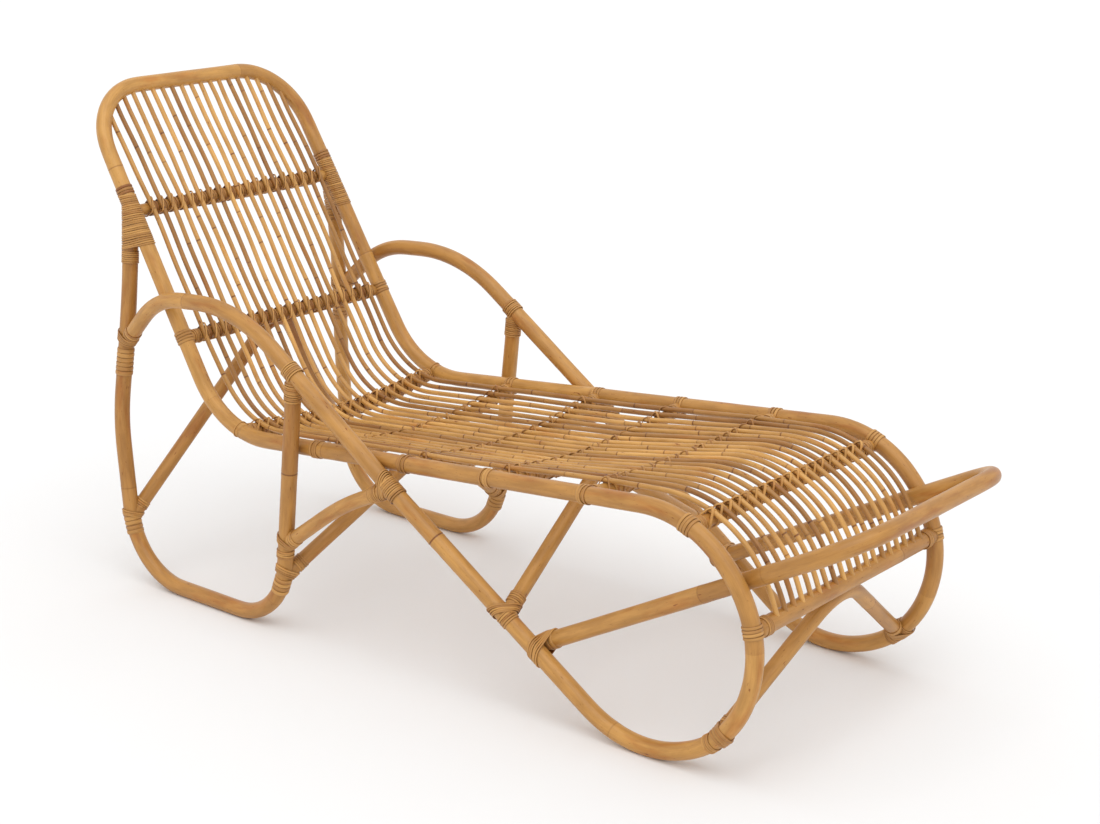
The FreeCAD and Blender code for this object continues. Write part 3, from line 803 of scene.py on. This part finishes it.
pole_cane = cane_material(
    "pole_cane",
    dark=(0.31, 0.126, 0.022, 1.0),
    light=(0.68, 0.372, 0.1, 1.0),
    roughness=0.42,
    bump_strength=0.08,
)
rod_cane = cane_material(
    "rod_cane",
    dark=(0.22, 0.08, 0.014, 1.0),
    light=(0.7, 0.392, 0.114, 1.0),
    roughness=0.44,
    bump_strength=0.12,
)
strip_cane = cane_material(
    "strip_cane",
    dark=(0.26, 0.098, 0.02, 1.0),
    light=(0.7, 0.388, 0.112, 1.0),
    roughness=0.5,
    bump_strength=0.12,
)
screw_steel = plain_material("screw_steel", colour=(0.55, 0.55, 0.56, 1.0), roughness=0.35, metallic=1.0)
dowel_wood = plain_material("dowel_wood", colour=(0.62, 0.44, 0.24, 1.0), roughness=0.6, metallic=0.0)


# Canes

sides_of_part = ("left", "right")
seat_bar_count = 4
rod_count = 19
seat_bars = [f"seat_bar_{number}" for number in range(1, seat_bar_count + 1)]
crossbars = ["upper_back_bar", "lower_back_bar", "knee_bar"] + seat_bars + ["front_bar"]
arches = ["rear_arch", "mid_arch", "seat_arch", "front_arch"]
rods = [f"rod_{number:02d}" for number in range(1, rod_count + 1)]
side_poles = [f"{side}_side_pole" for side in sides_of_part]
leg_hoops = [f"{side}_leg_hoop" for side in sides_of_part]
braces = [f"{side}_corner_brace" for side in sides_of_part]
poles = ["back_hoop", "foot_bow"] + side_poles + leg_hoops

canes = {}
for name in poles:
    canes[name] = Cane(name, pole_radius)
for name in braces + arches:
    canes[name] = Cane(name, brace_radius)
for name in crossbars:
    canes[name] = Cane(name, bar_radius)
canes["toe_bar"] = Cane("toe_bar", toe_bar_radius)
for name in rods:
    canes[name] = Cane(name, rod_radius)


def cane_piece(name, gap, plainness, sides, material, slot, tone, wander=0.0):
    """Makes one cane as a piece of its own."""
    skin = Skin()
    cane = canes[name]
    cane_skin(skin, cane, knots_along(cane, gap, plainness), sides, tone, wander)
    skin.piece(name + "_cane", material, slot, [name])


def tone_of(name):
    """Tone of a pole or bar: its own, or one of the darker ones under the deck."""
    return cane_tones.get(name, dice.uniform(*other_tones))


for name in poles + ["toe_bar"]:
    cane_piece(name, pole_knot_gap, pole_plainness, pole_sides, pole_cane, "pole_cane", tone_of(name))
for name in braces + arches:
    cane_piece(name, brace_knot_gap, pole_plainness, pole_sides, pole_cane, "pole_cane", tone_of(name))
for name in crossbars:
    cane_piece(name, bar_knot_gap, pole_plainness, pole_sides, pole_cane, "pole_cane", tone_of(name))
for name in rods:
    tone = dice.choice(rod_tones)
    cane_piece(name, rod_knot_gap, rod_plainness, rod_sides, rod_cane, "rod_cane", tone, rod_wander)


# Lashings of the poles

def lashing_piece(name, joint_list, wind):
    """Makes one lashing node's strips: the same winding at each of its joints."""
    skin = Skin()
    for joint in joint_list:
        wind(skin, joint)
    skin.piece(name + "_strip", strip_cane, "cane_strip", [name])


def wind_back_leg(skin, joint):
    """A dark band and close turns round the rail, then round the rail and the leg, then round the leg."""
    up = math.copysign(1.0, -(joint.along @ joint.away))
    first_turn = 0.018
    last_turn = -0.085
    band_rise = 1.8 * wide_strip
    collar_gap = 0.014
    rail = joint.post.straight(joint.post_far + up * (first_turn + band_rise))
    side_by_side(skin, rail, rail.point, rail.heading, count=3, width=wide_strip, tone=0.15)
    for height in np.arange(first_turn, last_turn, -strip_width * strip_pitch):
        rail = joint.post.straight(joint.post_far + up * height)
        leg_far = np.clip(joint.tip_far - joint.inward * height, 0.0, joint.branch.length)
        leg = joint.branch.straight(leg_far)
        held = [rail, leg] if height < 0 else [rail]
        strip_turn(skin, held, rail.point, unit(up * rail.heading - joint.inward * leg.heading))
    joint.on_branch(skin, offset=collar_gap - last_turn, count=6)


def wind_bar(skin, joint):
    """Bands round the rail over the bar's end, and turns round the bar beside them."""
    joint.on_post(skin, offset=0.0, count=4, width=wide_strip)
    joint.on_branch(skin, offset=0.022, count=4)


def wind_knee_bar(skin, joint):
    """Turns round the bar's end, and one round the rail where its two poles meet."""
    joint.on_branch(skin, offset=0.02, count=6)
    joint.on_post(skin, offset=0.0, count=1, width=thin_strip)


def wind_seat_bar(skin, joint):
    """A few turns round the rail over the bar's end, each with a tilt of its own, and two round the bar."""
    turn_gap = 0.007
    most_tilt = 0.12
    for offset in (-turn_gap, 0.0, turn_gap):
        tilt = dice.uniform(-most_tilt, most_tilt)
        joint.on_post(skin, offset, count=1, width=wide_strip, tilt=tilt)
    joint.on_branch(skin, offset=0.016, count=2)


def wind_arm_end(skin, joint):
    """Turns that draw the arm to the leg, a collar round the arm, and broad turns down the leg."""
    joint.on_branch(skin, offset=0.03, count=3, width=wide_strip)
    joint.crossed(skin, offset=0.002, count=4)
    joint.on_post(skin, offset=joint.down * 0.04, count=6, width=broad_strip)


def wind_leg_top(skin, joint):
    """Turns over the arm at the top of the leg, and close turns down the leg."""
    joint.on_post(skin, offset=-joint.down * 0.006, count=6, layer=1)
    joint.on_branch(skin, offset=0.03, count=9)


def wind_rear_arch(skin, joint):
    """Broad turns down the leg, a few over the foot of the arch, and a collar round it."""
    joint.on_post(skin, offset=joint.down * 0.014, count=5, width=broad_strip)
    joint.on_branch(skin, offset=0.028, count=4)
    joint.gathered(skin, offset=0.0, count=3)


def wind_mid_arch(skin, joint):
    """Turns round the leg and the arch, a collar round the arch, and broad turns down the leg."""
    joint.gathered(skin, offset=0.0, count=4)
    joint.on_branch(skin, offset=0.03, count=5)
    joint.on_post(skin, offset=joint.down * 0.022, count=4, width=broad_strip)


def wind_front_arch(skin, joint):
    """Turns round the loop on both sides of the arch's foot, and some that slant over both."""
    joint.on_post(skin, offset=0.015, count=4)
    joint.on_post(skin, offset=-0.015, count=4)
    joint.on_branch(skin, offset=0.026, count=3)
    joint.gathered(skin, offset=0.0, count=4, width=wide_strip)


def wind_brace_foot(skin, joint):
    """Turns that slant over the leg and the brace, a collar round the brace, and turns round the leg."""
    joint.on_branch(skin, offset=0.024, count=3, width=wide_strip)
    joint.crossed(skin, offset=0.002, count=3)
    joint.on_post(skin, offset=joint.down * 0.02, count=4)


def wind_brace_joint(skin, joint):
    """A fan of turns: round the brace, round both, and round the diagonal."""
    joint.on_branch(skin, offset=0.036, count=6)
    joint.gathered(skin, offset=0.002, count=5, layer=0.5)
    joint.on_post(skin, offset=joint.down * 0.006, count=9, layer=1)


def wind_seat_arch(skin, joint):
    """A collar round the arch, turns that sweep over both, and a few round the diagonal."""
    joint.on_branch(skin, offset=0.03, count=5)
    joint.on_post(skin, offset=joint.down * 0.008, count=5)
    joint.gathered(skin, offset=0.0, count=5)


def wind_bow(skin, joint):
    """Turns that slant over the bow and the diagonal, and broad ones round the bow."""
    joint.gathered(skin, offset=0.006, count=6)
    joint.on_branch(skin, offset=0.036, count=2, width=broad_strip)


lower_side = canes["toe_bar"].at(0.0)
upper_back = canes["upper_back_bar"].at(0.0)
back_leg_joints = [end_joint(leg, "back_hoop", upper_back) for leg in leg_hoops]
leg_top_joints = [end_joint(leg, pole, lower_side) for leg, pole in zip(leg_hoops, side_poles)]
arm_end_joints = [end_joint(pole, leg, upper_back) for pole, leg in zip(side_poles, leg_hoops)]
brace_foot_joints = [end_joint(brace, leg, upper_back) for brace, leg in zip(braces, leg_hoops)]
brace_joint_joints = [end_joint(brace, pole, lower_side) for brace, pole in zip(braces, side_poles)]
seat_bar_joints = [joint for bar in seat_bars for joint in joints(bar, side_poles)]

lashing_piece("back_leg_lashings", back_leg_joints, wind_back_leg)
lashing_piece("lower_back_bar_lashings", joints("lower_back_bar", ["back_hoop"]), wind_bar)
lashing_piece("knee_bar_lashings", joints("knee_bar", ["back_hoop"]), wind_knee_bar)
lashing_piece("front_bar_lashings", joints("front_bar", side_poles), wind_bar)
lashing_piece("toe_bar_lashings", joints("toe_bar", side_poles), wind_bar)
lashing_piece("seat_bar_lashings", seat_bar_joints, wind_seat_bar)
lashing_piece("arm_end_lashings", arm_end_joints, wind_arm_end)
lashing_piece("leg_top_lashings", leg_top_joints, wind_leg_top)
lashing_piece("rear_arch_lashings", joints("rear_arch", leg_hoops), wind_rear_arch)
lashing_piece("mid_arch_lashings", joints("mid_arch", leg_hoops), wind_mid_arch)
lashing_piece("seat_arch_lashings", joints("seat_arch", side_poles), wind_seat_arch)
lashing_piece("front_arch_lashings", joints("front_arch", side_poles), wind_front_arch)
lashing_piece("brace_foot_lashings", brace_foot_joints, wind_brace_foot)
lashing_piece("brace_joint_lashings", brace_joint_joints, wind_brace_joint)
lashing_piece("foot_bow_lashings", joints("foot_bow", side_poles), wind_bow)


# Bindings of the rods to the bars

def crossings(bar):
    """Where each rod crosses a bar: the bar and the rod there, as straight bars."""
    found = []
    for name in rods:
        rod = canes[name]
        gaps = np.linalg.norm(rod.line[:, None] - bar.line[None], axis=2)
        rod_index, bar_index = np.unravel_index(np.argmin(gaps), gaps.shape)
        found.append((bar.straight(bar.far[bar_index]), rod.straight(rod.far[rod_index])))
    return found


def bind_back_bar(skin, bar):
    """A slanting light turn over each rod, and rings round the bar between the rods, dark with painted
    shade.
    """
    places = crossings(bar)
    for bar_here, rod_here in places:
        middle = (bar_here.point + rod_here.point) / 2
        normal = unit(bar_here.heading + back_tie_slant * rod_here.heading)
        strip_turn(skin, [bar_here, rod_here], middle, normal, layer=1, tone=0.6)
    for (first, _), (second, _) in zip(places, places[1:]):
        middle = (first.point + second.point) / 2
        # The rings' dark tone is painted shade between the rods
        side_by_side(skin, first, middle, first.heading, count=3, width=ring_width, layer=0.8, tone=0.22)


def bind_bend_bar(skin, bar):
    """Turns that cross over each rod, and rings round the bar between the rods."""
    places = crossings(bar)
    count, layer, tone = bend_rings[bar.node]
    for bar_here, rod_here in places:
        middle = (bar_here.point + rod_here.point) / 2
        for way, tie_layer in bend_tie_layers.items():
            normal = unit(bar_here.heading + way * bend_tie_slant * rod_here.heading)
            held = [bar_here, rod_here]
            strip_turn(skin, held, middle, normal, bend_tie, tie_layer, tone=0.62, edge_shade=tie_edge_shade)
    for (first, _), (second, _) in zip(places, places[1:]):
        middle = (first.point + second.point) / 2
        side_by_side(skin, first, middle, first.heading, count, ring_width, layer, tone, tie_edge_shade)


def bind_seat_bar(skin, bar):
    """One or two dark turns over each rod."""
    for bar_here, rod_here in crossings(bar):
        middle = (bar_here.point + rod_here.point) / 2
        for way in dice.choice(seat_tie_ways):
            slant = dice.uniform(*seat_tie_slants)
            normal = unit(bar_here.heading + way * slant * rod_here.heading)
            held = [bar_here, rod_here]
            strip_turn(skin, held, middle, normal, seat_tie, way * seat_tie_layer, tone=0.35, edge_shade=tie_edge_shade)


def binding_piece(name, bar_names, bind):
    """Makes one binding node's strips."""
    skin = Skin()
    for bar_name in bar_names:
        bind(skin, canes[bar_name])
    skin.piece(name + "_strip", strip_cane, "cane_strip", [name])


binding_piece("back_bar_bindings", ["upper_back_bar", "lower_back_bar"], bind_back_bar)
binding_piece("bend_bar_bindings", ["knee_bar", "front_bar"], bind_bend_bar)
binding_piece("seat_bar_bindings", seat_bars, bind_seat_bar)


# Hidden fixings keep their shape and get a finish

for name, material in (("crossbar_screws", screw_steel), ("rail_dowels", dowel_wood)):
    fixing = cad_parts[name]
    fixing.data.materials.clear()
    fixing.data.materials.append(material)


# Stage, light and camera

def floor_material():
    """Matt white."""
    material = bpy.data.materials.new("floor_white")
    material.use_nodes = True
    shader = material.node_tree.nodes["Principled BSDF"]
    shader.inputs["Base Color"].default_value = floor_white
    shader.inputs["Roughness"].default_value = 1.0
    shader.inputs["Specular IOR Level"].default_value = 0.0
    return material


def floor_piece(half):
    """A wide flat floor that also fills the view behind the part."""
    mesh = bpy.data.meshes.new("floor")
    corners = [(-half, -half, 0.0), (half, -half, 0.0), (half, half, 0.0), (-half, half, 0.0)]
    mesh.from_pydata(corners, [], [(0, 1, 2, 3)])
    mesh.materials.append(floor_material())
    floor = bpy.data.objects.new("floor", mesh)
    bpy.context.collection.objects.link(floor)


def sun(name, strength, angle, turn, rise):
    """A soft far light from a turn about the part and a rise above the floor."""
    light = bpy.data.lights.new(name, "SUN")
    light.energy = strength
    light.angle = angle
    lamp = bpy.data.objects.new(name, light)
    bpy.context.collection.objects.link(lamp)
    lamp.rotation_euler = direction_to(turn, rise).to_track_quat("Z", "Y").to_euler()


def sky(strength):
    """An even white sky."""
    world = bpy.data.worlds.new("studio")
    world.use_nodes = True
    background = world.node_tree.nodes["Background"]
    background.inputs["Color"].default_value = sky_white
    background.inputs["Strength"].default_value = strength
    bpy.context.scene.world = world


def photo_camera():
    """The photo's camera."""
    data = bpy.data.cameras.new("camera")
    data.lens = camera_lens
    data.sensor_width = sensor_width
    camera = bpy.data.objects.new("camera", data)
    back = direction_to(camera_turn, camera_rise)
    camera.location = camera_target + back * camera_distance
    camera.rotation_euler = back.to_track_quat("Z", "Y").to_euler()
    bpy.context.collection.objects.link(camera)
    bpy.context.scene.camera = camera


floor_piece(floor_half)
sky(sky_strength)
sun("key", sun_strength, sun_spread, sun_turn, sun_rise)
photo_camera()
bpy.context.scene.view_settings.view_transform = "Standard"
